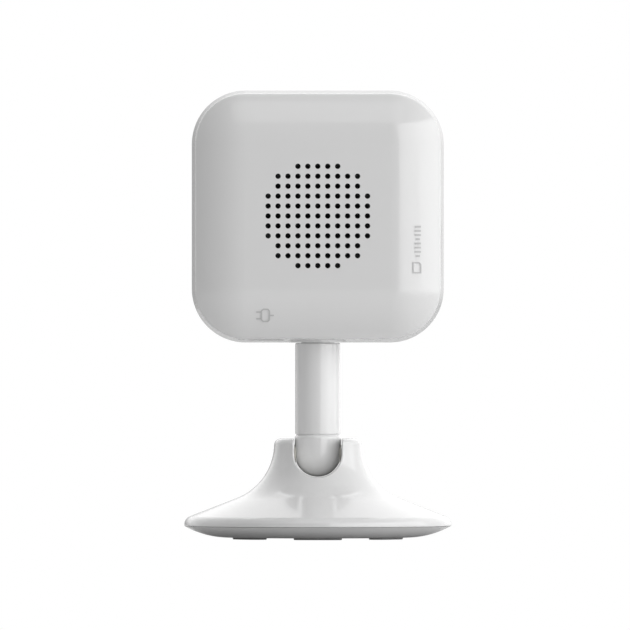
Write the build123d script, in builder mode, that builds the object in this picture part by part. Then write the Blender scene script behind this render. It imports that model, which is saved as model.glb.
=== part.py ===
from build123d import *
import os
from math import asin, atan, cos, degrees, radians, sin, sqrt, tan

# Indoor security camera on a folding stem, in millimetres.
# Origin: bottom centre of the feet. +Z up, the lens faces -Y, the speaker grille faces +Y.

os.makedirs("parts", exist_ok=True)

# ---------------------------------------------------------------- driving dimensions
# Base
base_diameter = 64.0        # widest circle, at the rim
foot_height = 0.4           # how far the rubber feet stand proud of the base plate
seam_height = 3.2           # lower edge of the shell
seam_gap = 0.1
base_wall = 1.6
rim_corner_height = 4.94    # where the cone would meet the rim's short upright
rim_fillet = 2.1
waist_height = 13.07        # where the cone would meet the neck
flare_radius = 14.0         # hollow curve between cone and neck
neck_radius = 10.35         # neck at its very top, before its edge is rounded
neck_taper = radians(4.0)
neck_height = 24.1
neck_fillet = 1.5
plate_flat_radius = 21.6    # flat middle of the underside

# Tilt joint
tilt_height = 20.5
knuckle_radius = 5.55
knuckle_gap = 0.15          # around the knuckle in its channel
channel_edge = 0.3          # rounding of the channel's outer edges
knuckle_shoulder = 1.1
knuckle_flat_depth = 0.45   # how far the washer faces are cut into the knuckle
pin_radius = 1.1
pin_head_radius = 1.8
pin_head_depth = 0.9
tilt_washer_radius = 2.1
running_gap = 0.05

# Stem
stem_radius = 5.4
stem_reach = 26.6           # tilt axis to the underside of the head
stem_step = 4.7             # tilt axis to the step where the tube starts
stem_bore = 3.9
plug_length = 7.8           # how far the knuckle's spigot goes up the tube

# Head
head_size = 60.5
head_corner = 12.9
head_front = -12.5
head_rear = 15.0
head_wall = 1.8
head_seam = -7.5            # joint between front and rear housing
head_seam_gap = 0.35
bezel_fillet = 4.0
pillow_margin = 12.7        # width of the back's curved margin
pillow_radius = 18.0
pillow_edge_fillet = 1.2
side_draft = 0.9            # how far the rear housing's sides draw in towards the back
lip_length = 2.5
lip_thickness = 1.0
slip_gap = 0.1              # between pieces that push together
seat_gap = 0.02             # between pieces that are drawn up tight

# Swivel
spigot_radius = 4.0
swivel_boss_height = 1.2    # above the head's inner floor
swivel_washer_thickness = 0.5
swivel_plate_thickness = 1.0
swivel_plate_radius = 6.6
stop_width = 1.2
stop_reach = 8.6

# Speaker and grille
grille_pitch = 2.373
grille_hole_radius = 0.64
grille_rows = (5, 9, 9, 11, 11, 11, 11, 11, 9, 9, 5)
speaker_radius = 14.2
speaker_depth = 4.8
gasket_thickness = 0.6
magnet_radius = 7.5
magnet_depth = 2.4

# Optics
window_radius = 20.0
window_thickness = 1.0
window_ledge = 1.4
trim_flange_radius = 7.4
trim_body_radius = 6.5
trim_stand_out = 0.7
cover_glass_radius = 5.6
cover_glass_thickness = 0.8
barrel_radius = 5.7
barrel_length = 8.4
barrel_bore = 4.5
holder_wall = 1.4

# Boards
board_margin = 3.45         # from the housing's inner walls
board_thickness = 1.2
board_front = 3.0
board_hole_inset = 4.0      # screw centre to the board's edges
led_board_radius = 21.6
led_board_bore = 7.7
led_board_gap = 1.1         # from the front wall
led_board_thickness = 1.0
led_ring_radius = 13.6
led_count = 8
led_screw_radius = 20.1

# Inlets and switch on the housing
usb_x = 13.4
usb_width = 7.5
usb_height = 2.6
usb_depth = 5.6
card_height = 21.2          # slot's middle above the underside
card_width = 11.4
card_gap = 1.1
card_travel = 1.0
reset_x = -15.3
reset_y = 9.9
reset_hole_radius = 0.6
reset_travel = 0.4

# Filter changer behind the lens
filter_travel = 5.0
filter_frame = (10.2, 8.2, 0.8)
filter_pane = (4.2, 6.0, 0.5)
changer_size = (17.2, 16.0, 3.4)

# ---------------------------------------------------------------- derived places
base_radius = base_diameter / 2
waist_radius = neck_radius + (neck_height - waist_height) * tan(neck_taper)
cone_slope = atan((waist_height - rim_corner_height) / (base_radius - waist_radius))
head_bottom = tilt_height + stem_reach
head_mid = head_bottom + head_size / 2
head_floor = head_bottom + head_wall
head_core = head_size / 2 - head_corner
inner_rear = head_rear - head_wall
inner_front = head_front + head_wall
board_rear = board_front + board_thickness
channel_radius = knuckle_radius + knuckle_gap
knuckle_flat = knuckle_radius - knuckle_flat_depth
board_size = head_size - 2 * (head_wall + board_margin)
board_hole_offset = board_size / 2 - board_hole_inset
card_z = head_bottom + card_height
plate_floor = foot_height + base_wall


upwards = (Align.CENTER, Align.CENTER, Align.MIN)       # how a cylinder stands on its place
downwards = (Align.CENTER, Align.CENTER, Align.MAX)


def export(piece, name):
    """Label a finished piece and write it to its own STEP file."""
    piece.label = name
    export_step(piece, f"parts/{name}.step")


def depth_plane(y, z=0.0):
    """Plane across the head at depth y, facing forwards: local y is Z from the head's middle."""
    return Plane(origin=(0, y, head_mid + z), x_dir=(1, 0, 0), z_dir=(0, -1, 0))


def side_plane(x, y, z):
    """Plane whose normal is +X: local x is Y, local y is Z."""
    return Plane(origin=(x, y, z), x_dir=(0, 1, 0), z_dir=(1, 0, 0))


def flare_corners(inset):
    """Corners of the base's outline, drawn in by inset: neck top, waist and rim."""
    top = neck_height - inset
    neck_shift = inset / cos(neck_taper)
    cone_shift = inset / cos(cone_slope)
    rim = base_radius - inset

    def neck_at(z):
        return neck_radius + (neck_height - z) * tan(neck_taper) - neck_shift

    def cone_at(r):
        return rim_corner_height + (base_radius - r) * tan(cone_slope) - cone_shift

    # neck and cone are straight lines, so the waist is where r = neck_at(cone_at(r))
    waist_r = (neck_at(cone_at(0))) / (1 - tan(neck_taper) * tan(cone_slope))
    return (neck_at(top), top), (waist_r, cone_at(waist_r)), (rim, cone_at(rim))


def flare_block(inset, bottom):
    """The base's flared form above bottom, drawn in by inset."""
    neck, waist, rim = flare_corners(inset)
    top_fillet = max(neck_fillet - inset, 0.3)
    neck_room = (neck[1] - waist[1]) / cos(neck_taper) - 1.1 * top_fillet
    turn = radians(90) - neck_taper - cone_slope
    flare_limit = 0.98 * neck_room / tan(turn / 2)
    radii = [top_fillet, min(flare_radius + inset, flare_limit), max(rim_fillet - inset, 0.3)]
    with BuildPart() as block:
        with BuildSketch(Plane.XZ):
            with BuildLine():
                FilletPolyline((0, neck[1]), neck, waist, rim, (rim[0], bottom), radius=radii)
                Polyline((rim[0], bottom), (0, bottom), (0, neck[1]))
            make_face()
        revolve(axis=Axis.Z)
    return block.part


def outline_edges(faces):
    """The edges round a patch of faces, without those that two of its faces share."""
    edges = ShapeList([edge for face in faces for edge in face.edges()])
    return [edge for edge in edges if sum(other.is_same(edge) for other in edges) == 1]


def channel_block(radius):
    """The fore-and-aft channel that the knuckle turns in: round below, open above."""
    height = neck_height - tilt_height + 2
    with BuildPart() as block:
        with BuildSketch(Plane.XZ.offset(-base_radius)):
            with Locations((0, tilt_height)):
                Circle(radius)
                Rectangle(2 * radius, height, align=(Align.CENTER, Align.MIN))
        extrude(amount=base_diameter)
    return block.part


def margin_section(front, inset):
    """Section of the head's margin: local x runs outwards from the square core, local y is Y."""
    reach = head_corner - inset
    rim = reach - (side_draft if inset <= 0 else 0)
    flat = head_corner - pillow_margin
    radius = pillow_radius - inset
    centre = (flat, head_rear - pillow_radius)
    edge = centre[1] + sqrt(radius**2 - (rim - flat) ** 2)
    back = centre[1] + radius
    with BuildSketch() as section:
        with BuildLine():
            Polyline((flat, back), (0, back), (0, front), (reach, front), (rim, edge))
            CenterArc(centre, radius, 90, -degrees(asin((rim - flat) / radius)))
        make_face()
        if inset < pillow_edge_fillet:
            corner = section.vertices().sort_by_distance((rim, edge, 0))[0]
            fillet(corner, pillow_edge_fillet - inset)
    return section.sketch


def pillow_block(front, inset=0.0):
    """The head behind front, drawn in by inset: its back is flat in the middle and curves to its edge."""
    section = margin_section(front, inset)
    corner = (head_core, 0, head_mid + head_core)
    with BuildPart() as block:
        with BuildSketch(Plane((head_core, 0, head_mid))):
            add(section)
        extrude(amount=head_core)
        with BuildSketch(Plane(corner)):
            add(section)
        revolve(axis=Axis(corner, (0, -1, 0)), revolution_arc=90)
        with BuildSketch(Plane(corner, x_dir=(0, 0, 1), z_dir=(-1, 0, 0))):
            add(section)
        extrude(amount=head_core)
        with BuildSketch(depth_plane(front)):
            Rectangle(head_core, head_core, align=Align.MIN)
        extrude(amount=-(head_rear - inset - front))
        mirror(about=Plane.YZ)
        mirror(about=Plane.XY.offset(head_mid))
    return block.part


def bezel_block(front, rear, inset, edge):
    """Rounded square block with its front edge rounded."""
    with BuildPart() as block:
        with BuildSketch(depth_plane(front)):
            RectangleRounded(head_size - 2 * inset, head_size - 2 * inset, head_corner - inset)
        extrude(amount=-(rear - front))
        fillet(block.faces().sort_by(Axis.Y)[0].edges(), edge)
    return block.part


# ---------------------------------------------------------------- base
yoke_bottom = 6.3
yoke_flange_radius = 16.3
yoke_flange_thickness = 2.0
yoke_column_radius = 12.0
yoke_gap = 0.1
yoke_screw_ring = 14.2
yoke_boss_radius = 1.7
yoke_screw_radius = 0.9
yoke_screw_head = 1.6
yoke_screw_count = 4
base_boss_radius = 2.6
base_screw_radius = 1.1
base_screw_head = 2.1
base_screw_length = 5.5
base_screw_ring = 19.1      # under the feet
base_screw_count = 3
foot_count = 6
foot_width = 4.8
foot_arc = 34.6             # degrees
foot_recess = 0.5
foot_end = degrees(foot_width / 2 / base_screw_ring)     # angle taken by a pad's rounded end
weight_outer = 25.0
weight_inner = 11.0
weight_thickness = 2.8
magnet_disc_radius = 10.0
magnet_disc_thickness = 3.0

shell_outer = flare_block(0, seam_height)
shell_inner = flare_block(base_wall, seam_height - 1)
shell_core = flare_block(base_wall / 2, seam_height - 1)
channel = channel_block(channel_radius)
yoke_top = yoke_bottom + yoke_flange_thickness

with BuildPart() as base_bosses:
    with BuildSketch(Plane.XY.offset(yoke_top)):
        with PolarLocations(yoke_screw_ring, yoke_screw_count, start_angle=45):
            Circle(yoke_boss_radius)
    extrude(amount=neck_height - yoke_top)
    with BuildSketch(Plane.XY.offset(plate_floor)):
        with PolarLocations(base_screw_ring, base_screw_count, start_angle=90):
            Circle(base_boss_radius)
    extrude(amount=neck_height - plate_floor)
    add(shell_core, mode=Mode.INTERSECT)

with BuildPart() as base_shell:
    add(shell_outer)
    add(channel, mode=Mode.SUBTRACT)
    channel_floor = base_shell.faces().filter_by(GeomType.CYLINDER).sort_by(lambda face: face.radius)[:1]
    channel_sides = base_shell.faces().filter_by(GeomType.PLANE).filter_by(Axis.X)
    fillet(outline_edges(channel_floor + channel_sides), channel_edge)
    add(shell_inner, mode=Mode.SUBTRACT)
    add(base_bosses.part)
    with BuildSketch(Plane.XY.offset(yoke_top)):
        with PolarLocations(yoke_screw_ring, yoke_screw_count, start_angle=45):
            Circle(yoke_screw_radius)
    extrude(amount=2.6, mode=Mode.SUBTRACT)
    with BuildSketch(Plane.XY.offset(plate_floor)):
        with PolarLocations(base_screw_ring, base_screw_count, start_angle=90):
            Circle(base_screw_radius)
    extrude(amount=base_screw_length, mode=Mode.SUBTRACT)
    add(channel, mode=Mode.SUBTRACT)
export(base_shell.part, "base_shell")

with BuildPart() as hinge_yoke:
    with BuildSketch(Plane.XY.offset(yoke_bottom)):
        Circle(yoke_column_radius)
    extrude(amount=neck_height)
    add(flare_block(base_wall + yoke_gap, seam_height), mode=Mode.INTERSECT)
    with BuildSketch(Plane.XY.offset(yoke_bottom)):
        Circle(yoke_flange_radius)
    extrude(amount=yoke_flange_thickness)
    with BuildSketch(Plane.XY.offset(yoke_bottom)):
        with PolarLocations(yoke_screw_ring, yoke_screw_count, start_angle=45):
            Circle(yoke_screw_radius + slip_gap)
    extrude(amount=yoke_flange_thickness, mode=Mode.SUBTRACT)
    add(channel, mode=Mode.SUBTRACT)
    with BuildSketch(side_plane(-channel_radius, 0, tilt_height)):
        Circle(tilt_washer_radius + slip_gap)
    extrude(amount=2 * channel_radius, mode=Mode.SUBTRACT)
    with BuildSketch(side_plane(-base_radius, 0, tilt_height)):
        Circle(pin_radius + running_gap / 2)
    extrude(amount=base_diameter, mode=Mode.SUBTRACT)
    ear_outside = neck_radius - base_wall - yoke_gap
    pin_end = ear_outside - 0.05
    with BuildSketch(side_plane(pin_end - pin_head_depth, 0, tilt_height)):
        Circle(pin_head_radius + slip_gap)
    extrude(amount=base_radius, mode=Mode.SUBTRACT)
    with BuildSketch(side_plane(-pin_end + pin_head_depth, 0, tilt_height)):
        RegularPolygon(pin_head_radius + slip_gap, 6)
    extrude(amount=-base_radius, mode=Mode.SUBTRACT)
export(hinge_yoke.part, "hinge_yoke")

with BuildPart() as yoke_screws:
    with PolarLocations(yoke_screw_ring, yoke_screw_count, start_angle=45):
        with Locations((0, 0, yoke_bottom)):
            Cylinder(yoke_screw_radius - seat_gap, yoke_flange_thickness + 2.4, align=upwards)
            Cylinder(yoke_screw_head, 1.0, align=downwards)
export(yoke_screws.part, "yoke_screws")

with BuildPart() as tilt_pin:
    with BuildSketch(side_plane(-pin_end, 0, tilt_height)):
        Circle(pin_radius)
    extrude(amount=2 * pin_end)
    with BuildSketch(side_plane(pin_end - pin_head_depth, 0, tilt_height)):
        Circle(pin_head_radius)
    extrude(amount=pin_head_depth)
    with BuildSketch(side_plane(pin_end, 0, tilt_height)):
        Rectangle(0.5, 2.6)
    extrude(amount=-0.4, mode=Mode.SUBTRACT)
export(tilt_pin.part, "tilt_pin")

with BuildPart() as tilt_nut:
    with BuildSketch(side_plane(-pin_end + 0.1, 0, tilt_height)):
        RegularPolygon(pin_head_radius, 6)
        Circle(pin_radius + 0.02, mode=Mode.SUBTRACT)
    extrude(amount=pin_head_depth - 0.1)
export(tilt_nut.part, "tilt_nut")

with BuildPart() as tilt_washers:
    for face in (knuckle_flat + running_gap, -channel_radius + running_gap):
        with BuildSketch(side_plane(face, 0, tilt_height)):
            Circle(tilt_washer_radius)
            Circle(pin_radius + running_gap, mode=Mode.SUBTRACT)
        extrude(amount=channel_radius - knuckle_flat - 2 * running_gap)
export(tilt_washers.part, "tilt_washers")



def foot_line():
    """Middle line of one foot's pad, between the centres of its round ends."""
    return CenterArc((0, 0), base_screw_ring, foot_end - foot_arc / 2, foot_arc - 2 * foot_end)


plate_edge = base_radius - 0.1
plate_arc = ((plate_edge - plate_flat_radius) ** 2 + (seam_height - seam_gap - foot_height) ** 2) / (
    2 * (seam_height - seam_gap - foot_height)
)
lip_radius = base_radius - base_wall - slip_gap - 0.3
lip_top = seam_height + 0.4

with BuildPart() as base_plate:
    with BuildSketch(Plane.XZ):
        with BuildLine():
            sweep_angle = degrees(asin((plate_edge - plate_flat_radius) / plate_arc))
            CenterArc((plate_flat_radius, foot_height + plate_arc), plate_arc, -90, sweep_angle)
            Polyline(
                (plate_edge, seam_height - seam_gap),
                (lip_radius, seam_height - seam_gap),
                (lip_radius, lip_top),
                (lip_radius - 1.0, lip_top),
                (lip_radius - 2.2, plate_floor),
                (0, plate_floor),
                (0, foot_height),
                (plate_flat_radius, foot_height),
            )
        make_face()
    revolve(axis=Axis.Z)
    with BuildSketch(Plane.XY.offset(foot_height)):
        with PolarLocations(0, foot_count, start_angle=90):
            SlotArc(foot_line(), foot_width + slip_gap)
    extrude(amount=foot_recess, mode=Mode.SUBTRACT)
    with BuildSketch(Plane.XY):
        with PolarLocations(base_screw_ring, base_screw_count, start_angle=90):
            Circle(base_screw_radius + slip_gap)
    extrude(amount=plate_floor, mode=Mode.SUBTRACT)
    with BuildSketch(Plane.XY.offset(plate_floor)):
        Circle(magnet_disc_radius + slip_gap + 0.8)
        Circle(magnet_disc_radius + slip_gap, mode=Mode.SUBTRACT)
    extrude(amount=1.5)
export(base_plate.part, "base_plate")

with BuildPart() as base_screws:
    with PolarLocations(base_screw_ring, base_screw_count, start_angle=90):
        with Locations((0, 0, foot_height + foot_recess + 1.0)):
            Cylinder(base_screw_radius - seat_gap, base_screw_length - 1.0, align=upwards)
export(base_screws.part, "base_screws")

with BuildPart() as base_feet:
    with BuildSketch(Plane.XY):
        with PolarLocations(0, foot_count, start_angle=90):
            SlotArc(foot_line(), foot_width)
    extrude(amount=foot_height + foot_recess)
    fillet(base_feet.faces().group_by(Axis.Z)[0].edges(), 0.2)
export(base_feet.part, "base_feet")

with BuildPart() as base_magnet:
    with Locations((0, 0, plate_floor)):
        Cylinder(magnet_disc_radius, magnet_disc_thickness, align=upwards)
    chamfer(base_magnet.edges().filter_by(GeomType.CIRCLE), 0.25)
export(base_magnet.part, "base_magnet")

with BuildPart() as base_weight:
    with BuildSketch(Plane.XY.offset(plate_floor)):
        Circle(weight_outer)
        Circle(weight_inner, mode=Mode.SUBTRACT)
        with PolarLocations(base_screw_ring, base_screw_count, start_angle=90):
            Circle(base_boss_radius + 0.3, mode=Mode.SUBTRACT)
    extrude(amount=weight_thickness)
export(base_weight.part, "base_weight")

# ---------------------------------------------------------------- stem
stem_foot = tilt_height + stem_step
stem_top = head_bottom - 0.1
swivel_gap = 0.1
washer_bottom = head_floor + swivel_boss_height + swivel_gap
plate_bottom = washer_bottom + swivel_washer_thickness
plate_top = plate_bottom + swivel_plate_thickness
spigot_flat = 3.2           # half width across the spigot's flats
swivel_screw_length = 9.0
swivel_screw_radius = 1.4
swivel_screw_head = 2.5

with BuildPart() as tilt_knuckle:
    knuckle_top = stem_foot - seat_gap
    with BuildSketch(Plane.XZ):
        with BuildLine():
            CenterArc((0, tilt_height), knuckle_radius, -90, 90)
            FilletPolyline(
                (knuckle_radius, tilt_height),
                (knuckle_radius, knuckle_top),
                (0, knuckle_top),
                radius=knuckle_shoulder,
            )
            Line((0, knuckle_top), (0, tilt_height - knuckle_radius))
        make_face()
    revolve(axis=Axis.Z)
    with Locations((0, 0, knuckle_top)):
        Cylinder(stem_bore - running_gap, plug_length, align=upwards)
    for side in (1, -1):
        with BuildSketch(side_plane(side * knuckle_flat, 0, tilt_height)):
            Circle(tilt_washer_radius + slip_gap)
        extrude(amount=side * knuckle_radius, mode=Mode.SUBTRACT)
    with BuildSketch(side_plane(-knuckle_radius, 0, tilt_height)):
        Circle(pin_radius + running_gap)
    extrude(amount=2 * knuckle_radius, mode=Mode.SUBTRACT)
export(tilt_knuckle.part, "tilt_knuckle")

with BuildPart() as stem_tube:
    with Locations((0, 0, stem_foot)):
        Cylinder(stem_radius, stem_top - stem_foot, align=upwards)
    fillet(stem_tube.edges().group_by(Axis.Z)[-1], 0.3)
    fillet(stem_tube.edges().group_by(Axis.Z)[0], 0.1)
    with Locations((0, 0, stem_foot)):
        Cylinder(stem_bore, plug_length + 2, align=upwards, mode=Mode.SUBTRACT)
    with BuildSketch(Plane.XY.offset(stem_top)):
        Circle(spigot_radius)
    extrude(amount=plate_top - 0.1 - stem_top)
    for side in (1, -1):
        with BuildSketch(Plane.XZ.offset(side * spigot_flat)):
            with Locations((0, plate_bottom)):
                Rectangle(4 * spigot_radius, 4, align=(Align.CENTER, Align.MIN))
        extrude(amount=side * spigot_radius, mode=Mode.SUBTRACT)
    with BuildSketch(Plane.XY.offset(plate_top)):
        Circle(swivel_screw_radius + 0.02)
    extrude(amount=-swivel_screw_length - 0.5, mode=Mode.SUBTRACT)
export(stem_tube.part, "stem_tube")

with BuildPart() as swivel_washer:
    with BuildSketch(Plane.XY.offset(washer_bottom)):
        Circle(swivel_plate_radius - 0.2)
        Circle(spigot_radius + slip_gap, mode=Mode.SUBTRACT)
    extrude(amount=swivel_washer_thickness)
export(swivel_washer.part, "swivel_washer")

with BuildPart() as swivel_plate:
    with BuildSketch(Plane.XY.offset(plate_bottom)):
        Circle(swivel_plate_radius)
        with Locations((0, 0)):
            Rectangle(stop_width, stop_reach, align=(Align.CENTER, Align.MAX))
        with BuildSketch(mode=Mode.SUBTRACT):
            Circle(spigot_radius + 0.04)
            Rectangle(4 * spigot_radius, 2 * spigot_flat + 0.08, mode=Mode.INTERSECT)
    extrude(amount=swivel_plate_thickness)
export(swivel_plate.part, "swivel_plate")

with BuildPart() as swivel_screw:
    with Locations((0, 0, plate_top)):
        Cylinder(swivel_screw_radius, swivel_screw_length, align=downwards)
        Cylinder(swivel_screw_head, 1.2, align=upwards)
    with BuildSketch(Plane.XY.offset(plate_top + 1.2)):
        Rectangle(3.0, 0.6)
        Rectangle(0.6, 3.0)
    extrude(amount=-0.7, mode=Mode.SUBTRACT)
export(swivel_screw.part, "swivel_screw")

# ---------------------------------------------------------------- head housings
boss_radius = 2.5
pilot_radius = 0.8
collar_thickness = 1.0
collar_height = 2.6
usb_mouth = (8.1, 3.2)
usb_recess = (11.2, 6.6)
usb_recess_depth = 1.2
usb_y = board_rear + usb_height / 2
card_body = (14.4, 14.6, 1.9)           # X, Z, Y
card_y = board_rear + card_body[2] / 2
card_slot = (12.0, 1.5)
card_recess = (13.6, 3.4)
card_recess_depth = 1.0
mark_height = 0.12
mark_line = 0.3

grille_points = [
    ((column - (count - 1) / 2) * grille_pitch, (row - (len(grille_rows) - 1) / 2) * grille_pitch)
    for row, count in enumerate(grille_rows)
    for column in range(count)
]
board_holes = [(x * board_hole_offset, z * board_hole_offset) for x in (1, -1) for z in (1, -1)]

# Moulded marks on the back: a plug by the power inlet, a card and its contacts by the card slot.
plug_mark_x, plug_mark_z = usb_x, head_bottom + 6.5
card_mark_x, card_mark_z = 6.55 - head_size / 2, card_z - 3.3
with BuildPart() as marks:
    with BuildSketch(depth_plane(head_rear - pillow_radius / 3, plug_mark_z - head_mid)):
        with Locations((plug_mark_x, 0)):
            with Locations((-0.9, 0)):
                RectangleRounded(2.2, 3.2, 0.5)
                RectangleRounded(2.2 - 2 * mark_line, 3.2 - 2 * mark_line, 0.3, mode=Mode.SUBTRACT)
            with Locations((0.7, 0.8), (0.7, -0.8)):
                Rectangle(1.2, mark_line)
            with Locations((-2.4, 0)):
                Rectangle(1.0, mark_line)
        with Locations((card_mark_x, card_mark_z - plug_mark_z)):
            Rectangle(2.1, 2.7)
            Rectangle(2.1 - 2 * mark_line, 2.7 - 2 * mark_line, mode=Mode.SUBTRACT)
            with Locations((-1.05, 1.35)):
                Rectangle(0.8, 0.8, rotation=45, mode=Mode.SUBTRACT)
        for contact in range(8):
            with Locations((card_mark_x - 0.2, card_mark_z - plug_mark_z + 2.8 + contact * 1.0)):
                Rectangle(1.5 if contact % 4 else 1.0, 0.42)
    extrude(amount=-pillow_radius)
    add(pillow_block(0, -mark_height), mode=Mode.INTERSECT)

with BuildPart() as back_bosses:
    with BuildSketch(depth_plane(inner_rear + head_wall / 2)):
        Circle(speaker_radius + slip_gap + collar_thickness)
        Circle(speaker_radius + slip_gap, mode=Mode.SUBTRACT)
    extrude(amount=collar_height + head_wall / 2)
    with BuildSketch(depth_plane(board_rear)):
        with Locations(*board_holes):
            Circle(boss_radius)
    extrude(amount=-(inner_rear - board_rear))
    add(pillow_block(head_seam, head_wall / 2), mode=Mode.INTERSECT)

with BuildPart() as rear_features:
    add(back_bosses.part)
    with BuildSketch(Plane.XY.offset(head_bottom)):
        Circle(swivel_plate_radius + 0.2)
    extrude(amount=head_wall + swivel_boss_height)
    with BuildSketch(Plane.XY.offset(head_bottom + head_wall / 2)):
        with Locations((0, swivel_plate_radius + 0.6)):
            Rectangle(stop_width, stop_reach - swivel_plate_radius + 0.2, align=(Align.CENTER, Align.MIN))
    extrude(amount=plate_top - head_bottom - head_wall / 2)

with BuildPart() as rear_housing:
    add(pillow_block(head_seam + head_seam_gap))
    add(marks.part)
    add(pillow_block(head_seam - 1, head_wall), mode=Mode.SUBTRACT)
    add(rear_features.part)
    with BuildSketch(depth_plane(head_rear)):
        with Locations(*grille_points):
            Circle(grille_hole_radius)
    extrude(amount=head_wall, mode=Mode.SUBTRACT)
    with BuildSketch(depth_plane(board_rear)):
        with Locations(*board_holes):
            Circle(pilot_radius)
    extrude(amount=-7.0, mode=Mode.SUBTRACT)
    with BuildSketch(Plane.XY.offset(head_bottom)):
        with Locations((usb_x, usb_y)):
            RectangleRounded(*usb_recess, usb_recess[1] / 2 - 0.1)
    extrude(amount=usb_recess_depth, mode=Mode.SUBTRACT)
    with BuildSketch(Plane.XY.offset(head_bottom)):
        with Locations((usb_x, usb_y)):
            RectangleRounded(*usb_mouth, 0.8)
        Circle(spigot_radius + running_gap)
        with Locations((reset_x, reset_y)):
            Circle(reset_hole_radius)
    extrude(amount=head_wall + swivel_boss_height, mode=Mode.SUBTRACT)
    with BuildSketch(side_plane(-head_size / 2, card_y, card_z)):
        RectangleRounded(card_recess[1], card_recess[0], card_recess[1] / 2 - 0.1)
    extrude(amount=card_recess_depth, mode=Mode.SUBTRACT)
    with BuildSketch(side_plane(-head_size / 2, card_y, card_z)):
        RectangleRounded(card_slot[1], card_slot[0], 0.4)
    extrude(amount=head_wall, mode=Mode.SUBTRACT)
export(rear_housing.part, "rear_housing")

window_front = head_front + 0.1
window_back = window_front + window_thickness
led_board_front = inner_front + led_board_gap
led_screw_angles = (90, 210, 330)
mic_place = (11.0, 7.05 - head_size / 2)
mic_radius = 2.0
mic_depth = 2.0
boot_radius = 3.0
boot_depth = 3.0
mic_boss_radius = 3.6
mic_hole_radius = 0.5

with BuildPart() as front_housing:
    add(bezel_block(head_front, head_seam, 0, bezel_fillet))
    add(bezel_block(inner_front, head_seam + 1, head_wall, bezel_fillet - head_wall), mode=Mode.SUBTRACT)
    with BuildSketch(depth_plane(head_seam - 1.0)):
        lip_inset = head_wall + slip_gap
        RectangleRounded(head_size - 2 * lip_inset, head_size - 2 * lip_inset, head_corner - lip_inset)
        lip_inner = lip_inset + lip_thickness
        RectangleRounded(
            head_size - 2 * lip_inner, head_size - 2 * lip_inner, head_corner - lip_inner, mode=Mode.SUBTRACT
        )
    extrude(amount=-(lip_length + 1.0))
    with BuildSketch(Plane.XY.offset(head_floor)):
        Circle(swivel_plate_radius + 0.5)
    extrude(amount=lip_thickness + 0.5, mode=Mode.SUBTRACT)
    with BuildSketch(depth_plane(head_seam - 2.0)):
        RectangleRounded(head_size - 2.0, head_size - 2.0, head_corner - 1.0)
        RectangleRounded(
            head_size - 2 * lip_inner, head_size - 2 * lip_inner, head_corner - lip_inner, mode=Mode.SUBTRACT
        )
    extrude(amount=-2.0)
    with BuildSketch(depth_plane(inner_front)):
        for angle in led_screw_angles:
            with PolarLocations(led_screw_radius, 1, start_angle=angle):
                Circle(1.4)
    extrude(amount=-led_board_gap)
    with BuildSketch(depth_plane(inner_front)):
        with Locations(mic_place):
            Circle(mic_boss_radius)
            Circle(boot_radius + 0.05, mode=Mode.SUBTRACT)
    extrude(amount=-2.2)
    with BuildSketch(depth_plane(head_front)):
        Circle(window_radius + slip_gap)
    extrude(amount=-(window_back - head_front), mode=Mode.SUBTRACT)
    with BuildSketch(depth_plane(head_front)):
        Circle(window_radius - window_ledge)
        with Locations(mic_place):
            Circle(mic_hole_radius)
    extrude(amount=-(head_wall + 0.5), mode=Mode.SUBTRACT)
    with BuildSketch(depth_plane(led_board_front)):
        for angle in led_screw_angles:
            with PolarLocations(led_screw_radius, 1, start_angle=angle):
                Circle(0.6)
    extrude(amount=1.9, mode=Mode.SUBTRACT)
export(front_housing.part, "front_housing")

# ---------------------------------------------------------------- front window and optics
with BuildPart() as front_window:
    with BuildSketch(depth_plane(window_front)):
        Circle(window_radius)
        Circle(trim_body_radius + slip_gap, mode=Mode.SUBTRACT)
    extrude(amount=-window_thickness)
    chamfer(front_window.faces().sort_by(Axis.Y)[0].edges(), 0.15)
export(front_window.part, "front_window")

trim_front = window_front - trim_stand_out
trim_rear = -10.2
trim_bore = 5.0
with BuildPart() as lens_trim_ring:
    with BuildSketch(depth_plane(trim_front)):
        Circle(trim_flange_radius)
    extrude(amount=-trim_stand_out)
    fillet(lens_trim_ring.faces().sort_by(Axis.Y)[0].edges(), 0.35)
    with BuildSketch(depth_plane(window_front)):
        Circle(trim_body_radius)
    extrude(amount=-(trim_rear - window_front))
    with BuildSketch(depth_plane(trim_front)):
        Circle(trim_bore)
    extrude(amount=-(trim_rear - trim_front), mode=Mode.SUBTRACT)
    with BuildSketch(depth_plane(trim_front)):
        Circle(cover_glass_radius + running_gap)
    extrude(amount=-(0.2 + cover_glass_thickness), mode=Mode.SUBTRACT)
export(lens_trim_ring.part, "lens_trim_ring")

with BuildPart() as lens_cover_glass:
    with BuildSketch(depth_plane(trim_front + 0.2)):
        Circle(cover_glass_radius)
    extrude(amount=-cover_glass_thickness)
export(lens_cover_glass.part, "lens_cover_glass")

barrel_front = trim_rear + 0.2
barrel_rear = barrel_front + barrel_length
with BuildPart() as lens_barrel:
    with BuildSketch(depth_plane(barrel_front)):
        Circle(barrel_radius)
    extrude(amount=-barrel_length)
    with BuildSketch(depth_plane(barrel_front)):
        Circle(barrel_bore - 0.4)
    extrude(amount=-barrel_length, mode=Mode.SUBTRACT)
    with BuildSketch(depth_plane(barrel_front + 0.4)):
        Circle(barrel_bore)
    extrude(amount=-barrel_length, mode=Mode.SUBTRACT)
export(lens_barrel.part, "lens_barrel")

lens_places = ((0.5, 1.8), (3.4, 1.2), (6.4, 1.4))      # distance behind the barrel's front, thickness
with BuildPart() as lens_elements:
    for start, thickness in lens_places:
        with BuildSketch(depth_plane(barrel_front + start)):
            Circle(barrel_bore - running_gap)
        extrude(amount=-thickness)
    chamfer(lens_elements.edges().filter_by(GeomType.CIRCLE), 0.3)
export(lens_elements.part, "lens_elements")

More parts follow.
